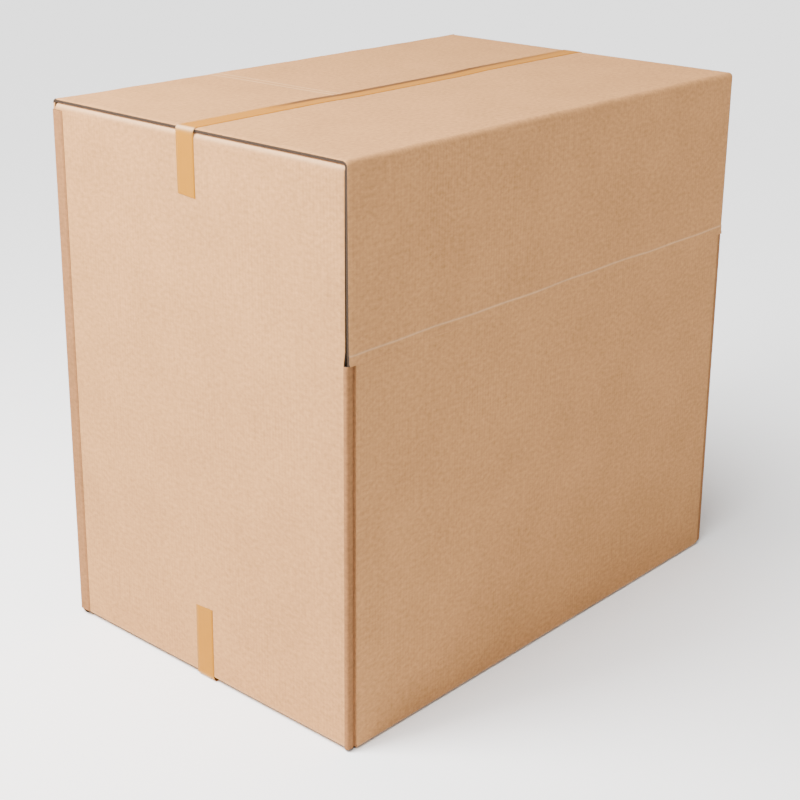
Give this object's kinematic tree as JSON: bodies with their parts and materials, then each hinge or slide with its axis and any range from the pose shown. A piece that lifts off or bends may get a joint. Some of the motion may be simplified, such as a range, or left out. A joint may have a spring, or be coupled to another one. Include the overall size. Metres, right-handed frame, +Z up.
{
  "type": "bulk pallet box",
  "caption": "Tall closed corrugated pallet box with a drop-down loading flap in one long side, taped along the top and the bottom.",
  "frame": {"origin": "on the floor under the middle of the box", "axes": "+X along the length, towards the end without the glue tab; -Y out of the long side with the loading flap; +Z up"},
  "size_m": [1.1972, 0.794, 1.1098],
  "materials": {
    "kraft_board": "matte brown kraft liner on double-wall corrugated board",
    "amber_tape": "semi-transparent amber packing tape"
  },
  "bodies": {
    "root": {"folded_blank": "kraft_board", "top_tape": "amber_tape", "bottom_tape": "amber_tape"}
  },
  "joints": []
}
